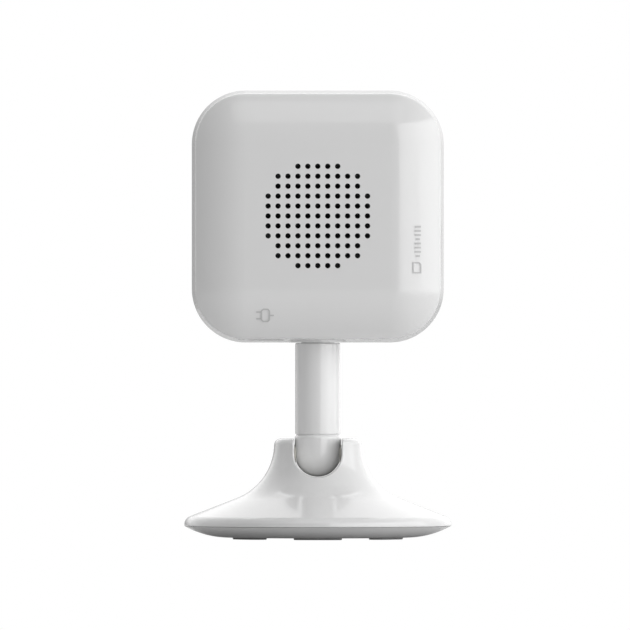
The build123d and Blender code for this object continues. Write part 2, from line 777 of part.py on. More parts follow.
changer_front = board_front - changer_size[2]
holder_front = changer_front - 7.0
with BuildPart() as lens_holder:
    with BuildSketch(depth_plane(changer_front)):
        RectangleRounded(changer_size[0] - 2, changer_size[1], 1.0)
    extrude(amount=1.4)
    with BuildSketch(depth_plane(changer_front)):
        Circle(barrel_radius + running_gap + holder_wall)
    extrude(amount=changer_front - holder_front)
    with BuildSketch(depth_plane(changer_front)):
        Circle(barrel_radius + running_gap)
    extrude(amount=changer_front - holder_front, mode=Mode.SUBTRACT)
export(lens_holder.part, "lens_holder")

frame_front = changer_front + 0.95
cavity_gap = 0.2
with BuildPart() as filter_changer:
    with BuildSketch(depth_plane(changer_front)):
        RectangleRounded(changer_size[0], changer_size[1], 1.0)
    extrude(amount=-changer_size[2])
    with BuildSketch(depth_plane(frame_front - cavity_gap)):
        cavity_length = filter_frame[0] + filter_travel + 2 * cavity_gap
        Rectangle(cavity_length, filter_frame[1] + 2 * cavity_gap)
    extrude(amount=-(filter_frame[2] + 2 * cavity_gap), mode=Mode.SUBTRACT)
    with BuildSketch(depth_plane(changer_front)):
        Rectangle(filter_pane[0] + 0.6, filter_pane[1])
    extrude(amount=-changer_size[2], mode=Mode.SUBTRACT)
    with BuildSketch(depth_plane(board_front)):
        Rectangle(9.0, 8.0)
    extrude(amount=1.1, mode=Mode.SUBTRACT)
export(filter_changer.part, "filter_changer")

frame_middle = -filter_travel / 2
pane_places = ((0, 0), (-filter_travel, 0))
with BuildPart() as filter_slider:
    with BuildSketch(depth_plane(frame_front)):
        with Locations((frame_middle, 0)):
            Rectangle(filter_frame[0], filter_frame[1])
        with Locations(*pane_places):
            Rectangle(filter_pane[0] + 0.1, filter_pane[1] + 0.1, mode=Mode.SUBTRACT)
    extrude(amount=-filter_frame[2])
export(filter_slider.part, "filter_slider")

with BuildPart() as filter_panes:
    with BuildSketch(depth_plane(frame_front + 0.15)):
        with Locations(*pane_places):
            Rectangle(filter_pane[0], filter_pane[1])
    extrude(amount=-filter_pane[2])
export(filter_panes.part, "filter_panes")

with BuildPart() as image_sensor:
    with BuildSketch(depth_plane(board_front)):
        Rectangle(8.0, 7.0)
    extrude(amount=0.9)
export(image_sensor.part, "image_sensor")

# ---------------------------------------------------------------- boards and what they carry
with BuildPart() as main_board:
    with BuildSketch(depth_plane(board_front)):
        RectangleRounded(board_size, board_size, 3.0)
        with Locations(*board_holes):
            Circle(1.2, mode=Mode.SUBTRACT)
        with Locations((0, -board_size / 2)):
            Rectangle(19.0, 6.0, mode=Mode.SUBTRACT)
    extrude(amount=-board_thickness)
export(main_board.part, "main_board")

with BuildPart() as board_screws:
    with BuildSketch(depth_plane(board_front)):
        with Locations(*board_holes):
            Circle(1.7)
    extrude(amount=0.9)
    with BuildSketch(depth_plane(board_front)):
        with Locations(*board_holes):
            Circle(pilot_radius - 0.02)
    extrude(amount=-6.5)
export(board_screws.part, "board_screws")

chip_places = (                         # place on the board, size, height
    ((-15.5, 8.5), (11.0, 11.0), 1.3),
    ((-15.5, -4.5), (8.0, 6.0), 1.0),
    ((15.5, -6.0), (5.0, 5.0), 2.4),
)
with BuildPart() as board_chips:
    for place, chip, height in chip_places:
        with BuildSketch(depth_plane(board_front)):
            with Locations(place):
                Rectangle(*chip)
        extrude(amount=height)
export(board_chips.part, "board_chips")

with BuildPart() as thermal_pad:
    with BuildSketch(depth_plane(board_front - chip_places[0][2])):
        with Locations(chip_places[0][0]):
            Rectangle(10.0, 10.0)
    extrude(amount=0.5)
export(thermal_pad.part, "thermal_pad")

with BuildPart() as heat_spreader:
    with BuildSketch(depth_plane(board_front - chip_places[0][2] - 0.5)):
        with Locations(chip_places[0][0]):
            Rectangle(13.0, 13.0)
    extrude(amount=1.0)
    with BuildSketch(depth_plane(board_front - chip_places[0][2] - 1.5)):
        with Locations(chip_places[0][0]):
            with GridLocations(2.4, 1, 6, 1):
                Rectangle(0.8, 13.0)
    extrude(amount=2.4)
export(heat_spreader.part, "heat_spreader")

can_x, can_z = 16.6, 9.0
with BuildPart() as shield_can:
    with BuildSketch(depth_plane(board_front)):
        with Locations((can_x, can_z)):
            RectangleRounded(13.0, 15.0, 0.8)
    extrude(amount=2.2)
    with BuildSketch(depth_plane(board_front)):
        with Locations((can_x, can_z)):
            RectangleRounded(12.4, 14.4, 0.5)
    extrude(amount=1.9, mode=Mode.SUBTRACT)
export(shield_can.part, "shield_can")

with BuildPart() as led_board:
    with BuildSketch(depth_plane(led_board_front)):
        Circle(led_board_radius)
        Circle(led_board_bore, mode=Mode.SUBTRACT)
        for angle in led_screw_angles:
            with PolarLocations(led_screw_radius, 1, start_angle=angle):
                Circle(0.75, mode=Mode.SUBTRACT)
    extrude(amount=-led_board_thickness)
export(led_board.part, "led_board")

with BuildPart() as led_board_screws:
    for angle in led_screw_angles:
        with BuildSketch(depth_plane(led_board_front + led_board_thickness)):
            with PolarLocations(led_screw_radius, 1, start_angle=angle):
                Circle(1.4)
        extrude(amount=-0.7)
        with BuildSketch(depth_plane(led_board_front + led_board_thickness)):
            with PolarLocations(led_screw_radius, 1, start_angle=angle):
                Circle(0.58)
        extrude(amount=2.7)
export(led_board_screws.part, "led_board_screws")

with BuildPart() as infrared_leds:
    with BuildSketch(depth_plane(led_board_front)):
        with PolarLocations(led_ring_radius, led_count, start_angle=22.5):
            Rectangle(2.8, 2.8)
    extrude(amount=0.8)
    with BuildSketch(depth_plane(led_board_front - 0.8)):
        with PolarLocations(led_ring_radius, led_count, start_angle=22.5):
            Circle(1.1)
    extrude(amount=0.4)
export(infrared_leds.part, "infrared_leds")

with BuildPart() as light_sensor:
    with BuildSketch(depth_plane(led_board_front)):
        with Locations((0, 16.8)):
            Rectangle(2.0, 1.6)
    extrude(amount=0.7)
export(light_sensor.part, "light_sensor")

with BuildPart() as status_led:
    with BuildSketch(depth_plane(led_board_front)):
        with Locations((0, -16.8)):
            Rectangle(1.6, 1.6)
    extrude(amount=0.7)
export(status_led.part, "status_led")

with BuildPart() as microphone_boot:
    with BuildSketch(depth_plane(inner_front)):
        with Locations(mic_place):
            Circle(boot_radius)
            Circle(mic_hole_radius, mode=Mode.SUBTRACT)
    extrude(amount=-boot_depth)
    with BuildSketch(depth_plane(inner_front + boot_depth - mic_depth)):
        with Locations(mic_place):
            Circle(mic_radius + 0.02)
    extrude(amount=-mic_depth, mode=Mode.SUBTRACT)
export(microphone_boot.part, "microphone_boot")

with BuildPart() as microphone:
    with BuildSketch(depth_plane(inner_front + boot_depth - mic_depth)):
        with Locations(mic_place):
            Circle(mic_radius)
    extrude(amount=-mic_depth)
export(microphone.part, "microphone")

# ---------------------------------------------------------------- speaker
gasket_front = inner_rear - gasket_thickness
speaker_front = gasket_front - speaker_depth
with BuildPart() as speaker_gasket:
    with BuildSketch(depth_plane(gasket_front)):
        Circle(speaker_radius)
        Circle(speaker_radius - 1.6, mode=Mode.SUBTRACT)
    extrude(amount=-gasket_thickness)
export(speaker_gasket.part, "speaker_gasket")

with BuildPart() as speaker_frame:
    with BuildSketch(Plane.XY.offset(head_mid)):
        with BuildLine():
            Polyline(
                (speaker_radius, gasket_front),
                (speaker_radius, gasket_front - 1.0),
                (speaker_radius - 1.2, gasket_front - 1.0),
                (magnet_radius + 1.0, speaker_front),
                (3.0, speaker_front),
                (3.0, speaker_front + 0.8),
                (magnet_radius + 0.4, speaker_front + 0.8),
                (speaker_radius - 1.9, gasket_front - 0.4),
                (speaker_radius - 1.9, gasket_front),
                close=True,
            )
        make_face()
    revolve(axis=Axis((0, 0, head_mid), (0, 1, 0)))
export(speaker_frame.part, "speaker_frame")

with BuildPart() as speaker_cone:
    with BuildSketch(Plane.XY.offset(head_mid)):
        with BuildLine():
            Polyline(
                (speaker_radius - 1.95, gasket_front - 0.1),
                (speaker_radius - 3.2, gasket_front - 0.1),
                (4.5, gasket_front - 2.0),
                (0, gasket_front - 1.2),
                (0, gasket_front - 1.6),
                (4.3, gasket_front - 2.5),
                (speaker_radius - 3.2, gasket_front - 0.5),
                (speaker_radius - 1.95, gasket_front - 0.4),
                close=True,
            )
        make_face()
    revolve(axis=Axis((0, 0, head_mid), (0, 1, 0)))
export(speaker_cone.part, "speaker_cone")

with BuildPart() as speaker_magnet:
    with BuildSketch(depth_plane(speaker_front)):
        Circle(magnet_radius)
    extrude(amount=magnet_depth)
    chamfer(speaker_magnet.faces().sort_by(Axis.Y)[0].edges(), 0.4)
export(speaker_magnet.part, "speaker_magnet")

lead_radius = 0.45
plug_top = 3.0
lead_ends = (speaker_radius + 2.6, speaker_radius + 4.0)
lead_z = (-0.8, 0.8)
with BuildPart() as speaker_socket:
    with BuildSketch(depth_plane(board_rear)):
        with Locations((sum(lead_ends) / 2, -9.0)):
            Rectangle(5.0, 3.6)
    extrude(amount=-plug_top)
export(speaker_socket.part, "speaker_socket")

with BuildPart() as speaker_leads:
    for end, start in zip(lead_ends, reversed(lead_z)):
        lead_y = gasket_front - 2.8
        with BuildLine() as route:
            FilletPolyline(
                (speaker_radius - 2.7, lead_y, head_mid + start),
                (end, lead_y, head_mid + start),
                (end, lead_y, head_mid - 9.0),
                (end, board_rear + plug_top, head_mid - 9.0),
                radius=1.2,
            )
        with BuildSketch(Plane(origin=route.line @ 0, z_dir=route.line % 0)):
            Circle(lead_radius)
        sweep(path=route.line)
export(speaker_leads.part, "speaker_leads")

# ---------------------------------------------------------------- inlets, switch and antenna
with BuildPart() as usb_receptacle:
    with BuildSketch(Plane.XY.offset(head_floor + running_gap)):
        with Locations((usb_x, usb_y)):
            RectangleRounded(usb_width, usb_height, 0.6)
    extrude(amount=usb_depth)
    with BuildSketch(Plane.XY.offset(head_floor + running_gap)):
        with Locations((usb_x, usb_y)):
            RectangleRounded(usb_width - 0.6, usb_height - 0.7, 0.4)
            with Locations((0, -0.3)):
                Rectangle(3.8, 0.65, mode=Mode.SUBTRACT)
    extrude(amount=usb_depth - 0.8, mode=Mode.SUBTRACT)
export(usb_receptacle.part, "usb_receptacle")

card_mouth_x = -head_size / 2 + head_wall + running_gap
card_stop = (2.6, 3.0)                  # the ejector's length along the travel, and its width
with BuildPart() as card_socket:
    with BuildSketch(side_plane(card_mouth_x, card_y, card_z)):
        Rectangle(card_body[2], card_body[1])
    extrude(amount=card_body[0])
    with BuildSketch(side_plane(card_mouth_x, card_y, card_z)):
        Rectangle(card_gap, card_width)
    extrude(amount=card_body[0] - 0.7, mode=Mode.SUBTRACT)
export(card_socket.part, "card_socket")

with BuildPart() as card_ejector:
    card_end_x = card_mouth_x + card_body[0] - 0.7
    with BuildSketch(side_plane(card_end_x - card_travel - 0.1, card_y, card_z + card_width / 2 - 0.2)):
        Rectangle(card_gap - 0.3, card_stop[1], align=(Align.CENTER, Align.MAX))
    extrude(amount=-card_stop[0])
export(card_ejector.part, "card_ejector")

switch_bottom = head_bottom + 7.1
switch_size = (4.6, 3.4)                # X, Z
switch_rear = 12.1
button_radius = 0.9
with BuildPart() as reset_switch:
    with BuildSketch(Plane.XY.offset(switch_bottom)):
        with Locations((reset_x, board_rear)):
            Rectangle(switch_size[0], switch_rear - board_rear, align=(Align.CENTER, Align.MIN))
    extrude(amount=switch_size[1])
    with BuildSketch(Plane.XY.offset(switch_bottom)):
        with Locations((reset_x, reset_y)):
            Circle(button_radius + running_gap)
    extrude(amount=2.0, mode=Mode.SUBTRACT)
export(reset_switch.part, "reset_switch")

with BuildPart() as reset_button:
    with BuildSketch(Plane.XY.offset(switch_bottom - 1.7)):
        with Locations((reset_x, reset_y)):
            Circle(button_radius)
    extrude(amount=1.7 + 2.0 - reset_travel - 0.1)
    fillet(reset_button.faces().sort_by(Axis.Z)[0].edges(), 0.25)
export(reset_button.part, "reset_button")

antenna_size = (28.0, 7.0, 0.5)
antenna_y = 1.0
antenna_top = head_bottom + head_size - head_wall
with BuildPart() as wifi_antenna:
    with BuildSketch(Plane.XY.offset(antenna_top)):
        with Locations((0, antenna_y)):
            RectangleRounded(antenna_size[0], antenna_size[1], 0.8)
    extrude(amount=-antenna_size[2])
export(wifi_antenna.part, "wifi_antenna")

coax_x = -6.0
coax_plug = (1.5, 1.3)                  # radius, height
coax_z = head_mid + board_size / 2 - 3.0
with BuildPart() as antenna_plug:
    with BuildSketch(depth_plane(board_front, coax_z - head_mid)):
        with Locations((coax_x, 0)):
            Circle(coax_plug[0])
    extrude(amount=coax_plug[1])
export(antenna_plug.part, "antenna_plug")

with BuildPart() as antenna_lead:
    with BuildLine() as coax:
        coax_y = board_front - coax_plug[1] - 1.6
        FilletPolyline(
            (coax_x, coax_y, antenna_top - antenna_size[2]),
            (coax_x, coax_y, coax_z),
            (coax_x, board_front - coax_plug[1], coax_z),
            radius=1.4,
        )
    with BuildSketch(Plane(origin=coax.line @ 0, z_dir=coax.line % 0)):
        Circle(lead_radius + 0.05)
    sweep(path=coax.line)
export(antenna_lead.part, "antenna_lead")
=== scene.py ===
import bpy
import bmesh
from math import cos, pi, radians, sin, sqrt
from mathutils import Matrix, Vector


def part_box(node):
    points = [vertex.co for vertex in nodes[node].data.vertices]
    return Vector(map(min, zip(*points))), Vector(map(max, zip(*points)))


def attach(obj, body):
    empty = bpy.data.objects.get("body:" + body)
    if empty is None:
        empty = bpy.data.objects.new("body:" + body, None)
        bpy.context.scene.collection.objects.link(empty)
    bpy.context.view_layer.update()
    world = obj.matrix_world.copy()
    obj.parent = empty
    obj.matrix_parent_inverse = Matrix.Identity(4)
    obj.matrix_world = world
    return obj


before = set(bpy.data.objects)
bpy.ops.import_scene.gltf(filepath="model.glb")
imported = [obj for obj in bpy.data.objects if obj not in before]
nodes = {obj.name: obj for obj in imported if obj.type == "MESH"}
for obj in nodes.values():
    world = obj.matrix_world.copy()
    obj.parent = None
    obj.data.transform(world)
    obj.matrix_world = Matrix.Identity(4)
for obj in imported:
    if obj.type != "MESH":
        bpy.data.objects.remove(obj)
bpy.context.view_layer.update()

scene = bpy.context.scene


def mm(value):
    return value / 1000.0


def boxOf(name):
    low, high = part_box(name)
    return low, high, (low + high) / 2


def addNode(tree, kind, feeds=None, **settings):
    # adds a node, sets its fields, and feeds its inputs with sockets or plain values
    node = tree.nodes.new(kind)
    for key, value in settings.items():
        setattr(node, key, value)
    for key, value in (feeds or {}).items():
        if isinstance(value, bpy.types.NodeSocket):
            tree.links.new(value, node.inputs[key])
        else:
            node.inputs[key].default_value = value
    return node.outputs


def addMath(tree, operation, *values):
    return addNode(tree, "ShaderNodeMath", dict(enumerate(values)), operation=operation)[0]


def addDot(tree, first, second):
    feeds = {0: first, 1: second}
    return addNode(tree, "ShaderNodeVectorMath", feeds, operation="DOT_PRODUCT")["Value"]


# ---- camera: behind the object, level, long lens
cameraLook = {
    "frameWidth": mm(151.0),    # width of the view at the stem's axis
    "lens": 1000.0,
    "sensor": 36.0,
    "lookX": mm(0.67),
    "lookZ": mm(53.7),
    "clip": (0.1, 50.0),
}


def makeCamera(look):
    data = bpy.data.cameras.new("camera")
    data.lens = look["lens"]
    data.sensor_width = look["sensor"]
    data.clip_start, data.clip_end = look["clip"]
    distance = look["frameWidth"] * look["lens"] / look["sensor"]
    camera = bpy.data.objects.new("camera", data)
    scene.collection.objects.link(camera)
    camera.location = (look["lookX"], distance, look["lookZ"])
    camera.rotation_euler = (pi / 2, 0, pi)
    scene.camera = camera


makeCamera(cameraLook)
print("camera placed")

# ---- light: a pale studio, brightest behind the object, with soft boxes round the camera
studio = {
    "backdrop": 1.0,            # what the camera sees past the object
    "front": 1.65,              # room brightness towards -Y, behind the object
    "above": 0.5,
    "ambient": 0.1,
    "flag": (0.2, -1, -0.3),    # a dark flag hangs there, so that grazing outlines read grey
    "flagAngles": (18, 32),     # where the flag is full and where it has faded out, in degrees
    "flagLevel": 0.25,
    "floorShade": 0.54,
    "floorRoughness": 0.7,
    "floorGlow": 0.07,          # the lit sheet under the object
    "floorRadius": 1.6,
    "floorDrop": mm(0.02),      # how far the sheet lies under the feet
}
softBoxes = {                   # azimuth is counted from +Y towards -X, rise from the level
    "windowBox": {"azimuth": 28, "rise": 8, "size": (0.4, 0.7), "power": 1.75},
    "flankBox": {"azimuth": 60, "rise": 8, "size": (0.5, 0.7), "power": 2.5},
    "edgeBox": {"azimuth": 94, "rise": 8, "size": (0.4, 0.7), "power": 1.3},
    "fillBox": {"azimuth": -92, "rise": 8, "size": (0.4, 0.7), "power": 0.3},
    "overheadRear": {"azimuth": 0, "rise": 50, "size": (0.5, 0.5), "power": 0.55},
    "rimBox": {"azimuth": 180, "rise": 62, "size": (0.6, 0.4), "power": 0.8},
}
softBoxDistance = 0.8
softBoxAim = Vector((0, 0, mm(70)))


def makeWorld(look):
    # the camera sees a plain backdrop, while the object is lit by lobes of light with the flag cut out
    world = bpy.data.worlds.new("studio")
    scene.world = world
    world.use_nodes = True
    tree = world.node_tree
    tree.nodes.clear()
    direction = addNode(tree, "ShaderNodeTexCoord")["Generated"]
    level = look["ambient"]
    for strength, axis in ((look["front"], (0, -1, 0)), (look["above"], (0, 0, 1))):
        lobe = addDot(tree, direction, [strength * c for c in axis])
        level = addMath(tree, "ADD", addMath(tree, "MAXIMUM", lobe, 0.0), level)
    nearness = addDot(tree, direction, Vector(look["flag"]).normalized())
    full, faded = look["flagAngles"]
    cover = addNode(tree, "ShaderNodeMapRange", {
        "Value": nearness, "From Min": cos(radians(faded)), "From Max": cos(radians(full)),
        "To Min": 1.0, "To Max": look["flagLevel"],
    }, interpolation_type="SMOOTHSTEP")["Result"]
    room = addNode(tree, "ShaderNodeBackground", {"Strength": addMath(tree, "MULTIPLY", level, cover)})[0]
    seen = addNode(tree, "ShaderNodeBackground", {"Color": (1, 1, 1, 1), "Strength": look["backdrop"]})[0]
    byCamera = addNode(tree, "ShaderNodeLightPath")["Is Camera Ray"]
    mix = addNode(tree, "ShaderNodeMixShader", {"Fac": byCamera, 1: room, 2: seen})[0]
    addNode(tree, "ShaderNodeOutputWorld", {"Surface": mix})


def makeSoftBox(name, look):
    data = bpy.data.lights.new(name, "AREA")
    data.shape = "RECTANGLE"
    data.size, data.size_y = look["size"]
    data.energy = look["power"]
    light = bpy.data.objects.new(name, data)
    scene.collection.objects.link(light)
    turn, rise = radians(look["azimuth"]), radians(look["rise"])
    outwards = Vector((-sin(turn) * cos(rise), cos(turn) * cos(rise), sin(rise)))
    light.location = softBoxAim + softBoxDistance * outwards
    light.rotation_euler = (softBoxAim - light.location).to_track_quat("-Z", "Y").to_euler()
    light.visible_camera = False


def makeFloor(look):
    mesh = bpy.data.meshes.new("floor")
    shape = bmesh.new()
    bmesh.ops.create_circle(shape, cap_ends=True, radius=look["floorRadius"], segments=96)
    shape.to_mesh(mesh)
    shape.free()
    floor = bpy.data.objects.new("floor", mesh)
    scene.collection.objects.link(floor)
    floor.location.z = -look["floorDrop"]
    material = bpy.data.materials.new("floorPaint")
    material.use_nodes = True
    tree = material.node_tree
    paper = tree.nodes["Principled BSDF"]
    paper.inputs["Base Color"].default_value = (look["floorShade"],) * 3 + (1,)
    paper.inputs["Roughness"].default_value = look["floorRoughness"]
    paper.inputs["Emission Color"].default_value = (1, 1, 1, 1)
    paper.inputs["Emission Strength"].default_value = look["floorGlow"]
    # the sheet is overlit, so it is seen plain white, and from below it lets the view through
    lit = addNode(tree, "ShaderNodeEmission", {"Strength": look["backdrop"]})[0]
    byCamera = addNode(tree, "ShaderNodeLightPath")["Is Camera Ray"]
    top = addNode(tree, "ShaderNodeMixShader", {"Fac": byCamera, 1: paper.outputs[0], 2: lit})[0]
    clear = addNode(tree, "ShaderNodeBsdfTransparent")[0]
    fromBelow = addNode(tree, "ShaderNodeNewGeometry")["Backfacing"]
    sheet = addNode(tree, "ShaderNodeMixShader", {"Fac": fromBelow, 1: top, 2: clear})[0]
    tree.links.new(sheet, tree.nodes["Material Output"].inputs["Surface"])
    mesh.materials.append(material)


makeWorld(studio)
for name, look in softBoxes.items():
    makeSoftBox(name, look)
makeFloor(studio)
scene.view_settings.view_transform = "Standard"
scene.view_settings.look = "None"
print("studio lit")

# ---- shared shader groups: each puts out a colour, a roughness and a height
groupOutputs = {"Color": "NodeSocketColor", "Roughness": "NodeSocketFloat", "Height": "NodeSocketFloat"}


def newGroup(name, inputs):
    tree = bpy.data.node_groups.new(name, "ShaderNodeTree")
    for label, (kind, value) in inputs.items():
        socket = tree.interface.new_socket(label, in_out="INPUT", socket_type=kind)
        socket.default_value = value
    for label, kind in groupOutputs.items():
        tree.interface.new_socket(label, in_out="OUTPUT", socket_type=kind)
    return tree, tree.nodes.new("NodeGroupInput").outputs, tree.nodes.new("NodeGroupOutput").inputs


mouldedLook = {
    "driftScale": 38.0, "driftDetail": 3.0, "smearScale": 120.0, "smearDetail": 5.0, "smearRoughness": 0.65,
    "peelDetail": 2.0,
}


def mouldedGroup(look):
    # fine orange peel of a moulded skin, with slight tone drift, and handling haze in the roughness
    tree, start, end = newGroup("mouldedSkin", {
        "Tone": ("NodeSocketColor", (0.8, 0.8, 0.8, 1)),
        "Drift": ("NodeSocketFloat", 0.02),
        "Gloss": ("NodeSocketFloat", 0.2),
        "Haze": ("NodeSocketFloat", 0.05),
        "Grain Scale": ("NodeSocketFloat", 1400.0),
    })
    place = addNode(tree, "ShaderNodeTexCoord")["Object"]
    broad = addNode(tree, "ShaderNodeTexNoise", {
        "Vector": place, "Scale": look["driftScale"], "Detail": look["driftDetail"],
    })["Fac"]
    centred = addMath(tree, "SUBTRACT", broad, 0.5)
    shift = addMath(tree, "MULTIPLY_ADD", centred, start["Drift"], 1.0)
    tint = addNode(tree, "ShaderNodeVectorMath", {0: start["Tone"], "Scale": shift}, operation="SCALE")[0]
    smear = addNode(tree, "ShaderNodeTexNoise", {
        "Vector": place, "Scale": look["smearScale"], "Detail": look["smearDetail"],
        "Roughness": look["smearRoughness"],
    })["Fac"]
    haze = addMath(tree, "MULTIPLY_ADD", smear, start["Haze"], start["Gloss"])
    peel = addNode(tree, "ShaderNodeTexNoise", {
        "Vector": place, "Scale": start["Grain Scale"], "Detail": look["peelDetail"],
    })["Fac"]
    for label, value in (("Color", tint), ("Roughness", haze), ("Height", peel)):
        tree.links.new(value, end[label])
    return tree


brushedLook = {"lineScale": 160.0, "lineDetail": 4.0, "darkest": 0.9, "lightest": 1.05}


def brushedGroup(look):
    # directional scratches for plated and rolled metal
    tree, start, end = newGroup("brushedMetal", {
        "Tone": ("NodeSocketColor", (0.6, 0.6, 0.6, 1)),
        "Gloss": ("NodeSocketFloat", 0.3),
        "Scratch": ("NodeSocketFloat", 0.15),
        "Stretch": ("NodeSocketVector", (1, 40, 40)),
    })
    place = addNode(tree, "ShaderNodeTexCoord")["Object"]
    drawn = addNode(tree, "ShaderNodeVectorMath", {0: place, 1: start["Stretch"]}, operation="MULTIPLY")[0]
    lines = addNode(tree, "ShaderNodeTexNoise", {
        "Vector": drawn, "Scale": look["lineScale"], "Detail": look["lineDetail"],
    })["Fac"]
    rough = addMath(tree, "MULTIPLY_ADD", lines, start["Scratch"], start["Gloss"])
    shade = addNode(tree, "ShaderNodeMapRange", {
        "Value": lines, "To Min": look["darkest"], "To Max": look["lightest"],
    })["Result"]
    tint = addNode(tree, "ShaderNodeVectorMath", {0: start["Tone"], "Scale": shade}, operation="SCALE")[0]
    for label, value in (("Color", tint), ("Roughness", rough), ("Height", lines)):
        tree.links.new(value, end[label])
    return tree


moulded = mouldedGroup(mouldedLook)
brushed = brushedGroup(brushedLook)

# ---- materials: plain values go on the shader's own sockets, and a group feeds what varies


def newMaterial(name, group, values, sockets, bump=None, feeds=None):
    material = bpy.data.materials.new(name)
    material.use_nodes = True
    tree = material.node_tree
    shader = tree.nodes["Principled BSDF"]
    for label, value in sockets.items():
        shader.inputs[label].default_value = value
    skin = addNode(tree, "ShaderNodeGroup", values, node_tree=group)
    for output, socket in (feeds or {"Color": "Base Color", "Roughness": "Roughness"}).items():
        tree.links.new(skin[output], shader.inputs[socket])
    if bump:
        strength, distance = bump
        relief = addNode(tree, "ShaderNodeBump", {
            "Strength": strength, "Distance": distance, "Height": skin["Height"],
        })
        tree.links.new(relief["Normal"], shader.inputs["Normal"])
    return material


def plastic(name, tone, gloss, grain=0.05, grainScale=1400.0, coat=0.0, drift=0.02, haze=0.05, ior=1.5):
    values = {"Tone": tone + (1,), "Drift": drift, "Gloss": gloss, "Haze": haze, "Grain Scale": grainScale}
    sockets = {"IOR": ior, "Coat Weight": coat, "Coat Roughness": 0.06}
    return newMaterial(name, moulded, values, sockets, (grain, mm(0.05)))


def metal(name, tone, gloss, scratch=0.15, stretch=(1, 40, 40)):
    values = {"Tone": tone + (1,), "Gloss": gloss, "Scratch": scratch, "Stretch": stretch}
    return newMaterial(name, brushed, values, {"Metallic": 1.0}, (0.06, mm(0.02)))


def glass(name, tint, roughness, ior=1.5, coat=0.6):
    # smudges in the roughness under a faintly violet coating
    values = {"Gloss": roughness, "Haze": 0.015}
    sockets = {
        "Base Color": tint + (1,), "IOR": ior, "Transmission Weight": 1.0, "Coat Weight": coat,
        "Coat Roughness": 0.02, "Coat Tint": (0.75, 0.62, 0.95, 1),
    }
    return newMaterial(name, moulded, values, sockets, feeds={"Roughness": "Roughness"})


plastics = {
    "whiteGloss": {"tone": (0.80, 0.80, 0.80), "gloss": 0.16, "grain": 0.04, "coat": 0.5},
    # painted light: the shell's white set lighter, so the stem and the knuckle in the channel's shade read
    # brighter
    "whiteStem": {"tone": (0.84, 0.84, 0.84), "gloss": 0.14, "grain": 0.03, "coat": 0.5},
    "whiteInner": {"tone": (0.82, 0.82, 0.81), "gloss": 0.4, "grain": 0.2, "grainScale": 900.0},
    "windowBlack": {"tone": (0.006, 0.006, 0.008), "gloss": 0.04, "grain": 0.01, "ior": 1.42, "haze": 0.02},
    "trimBlack": {"tone": (0.015, 0.015, 0.016), "gloss": 0.12, "grain": 0.03, "coat": 0.6},
    "mattBlack": {"tone": (0.02, 0.02, 0.02), "gloss": 0.5, "grain": 0.3, "grainScale": 1100.0},
    "footRubber": {
        "tone": (0.52, 0.52, 0.52), "gloss": 0.62, "grain": 0.4, "grainScale": 2200.0, "haze": 0.2,
    },
    "blackRubber": {
        "tone": (0.03, 0.03, 0.03), "gloss": 0.6, "grain": 0.3, "grainScale": 1800.0, "haze": 0.15,
    },
    "nylon": {"tone": (0.78, 0.76, 0.7), "gloss": 0.35, "grain": 0.1},
    "boardGreen": {"tone": (0.02, 0.11, 0.045), "gloss": 0.28, "grain": 0.1, "coat": 0.3, "drift": 0.25},
    "boardBlack": {"tone": (0.02, 0.02, 0.023), "gloss": 0.3, "grain": 0.1, "coat": 0.3},
    "chipBlack": {"tone": (0.03, 0.03, 0.03), "gloss": 0.45, "grain": 0.25, "grainScale": 3000.0},
    "ledClear": {"tone": (0.75, 0.74, 0.62), "gloss": 0.1, "grain": 0.0, "coat": 0.8},
    "padBlue": {"tone": (0.36, 0.44, 0.55), "gloss": 0.6, "grain": 0.3},
    "conePaper": {"tone": (0.03, 0.03, 0.03), "gloss": 0.7, "grain": 0.6, "grainScale": 2600.0},
    "foam": {"tone": (0.02, 0.02, 0.02), "gloss": 0.85, "grain": 0.8, "grainScale": 1600.0},
    "flexAmber": {"tone": (0.5, 0.24, 0.04), "gloss": 0.25, "grain": 0.05, "coat": 0.4},
    # painted shade: the raised marks are the shell's white, and this grey stands in for the shade along their
    # edges
    "etchedGrey": {"tone": (0.56, 0.56, 0.56), "gloss": 0.5, "grain": 0.2},
    "speakerCloth": {"tone": (0.012, 0.012, 0.013), "gloss": 0.7, "grain": 0.3, "grainScale": 6000.0},
    "resistorBody": {"tone": (0.05, 0.05, 0.055), "gloss": 0.4, "grain": 0.1, "drift": 0.4},
}
metals = {
    "steel": {"tone": (0.62, 0.62, 0.62), "gloss": 0.24},
    "nickel": {"tone": (0.68, 0.67, 0.65), "gloss": 0.14, "scratch": 0.08},
    "aluminium": {"tone": (0.74, 0.74, 0.75), "gloss": 0.3, "stretch": (40, 40, 1)},
    "brass": {"tone": (0.8, 0.6, 0.26), "gloss": 0.2},
    "solder": {"tone": (0.7, 0.7, 0.7), "gloss": 0.25},
}
glasses = {
    "lensGlass": {"tint": (0.9, 0.95, 1.0), "roughness": 0.0},
    "filterGlass": {"tint": (0.8, 0.5, 0.55), "roughness": 0.02},
}
finishes = {}
for maker, looks in ((plastic, plastics), (metal, metals), (glass, glasses)):
    for name, look in looks.items():
        finishes[name] = maker(name, **look)

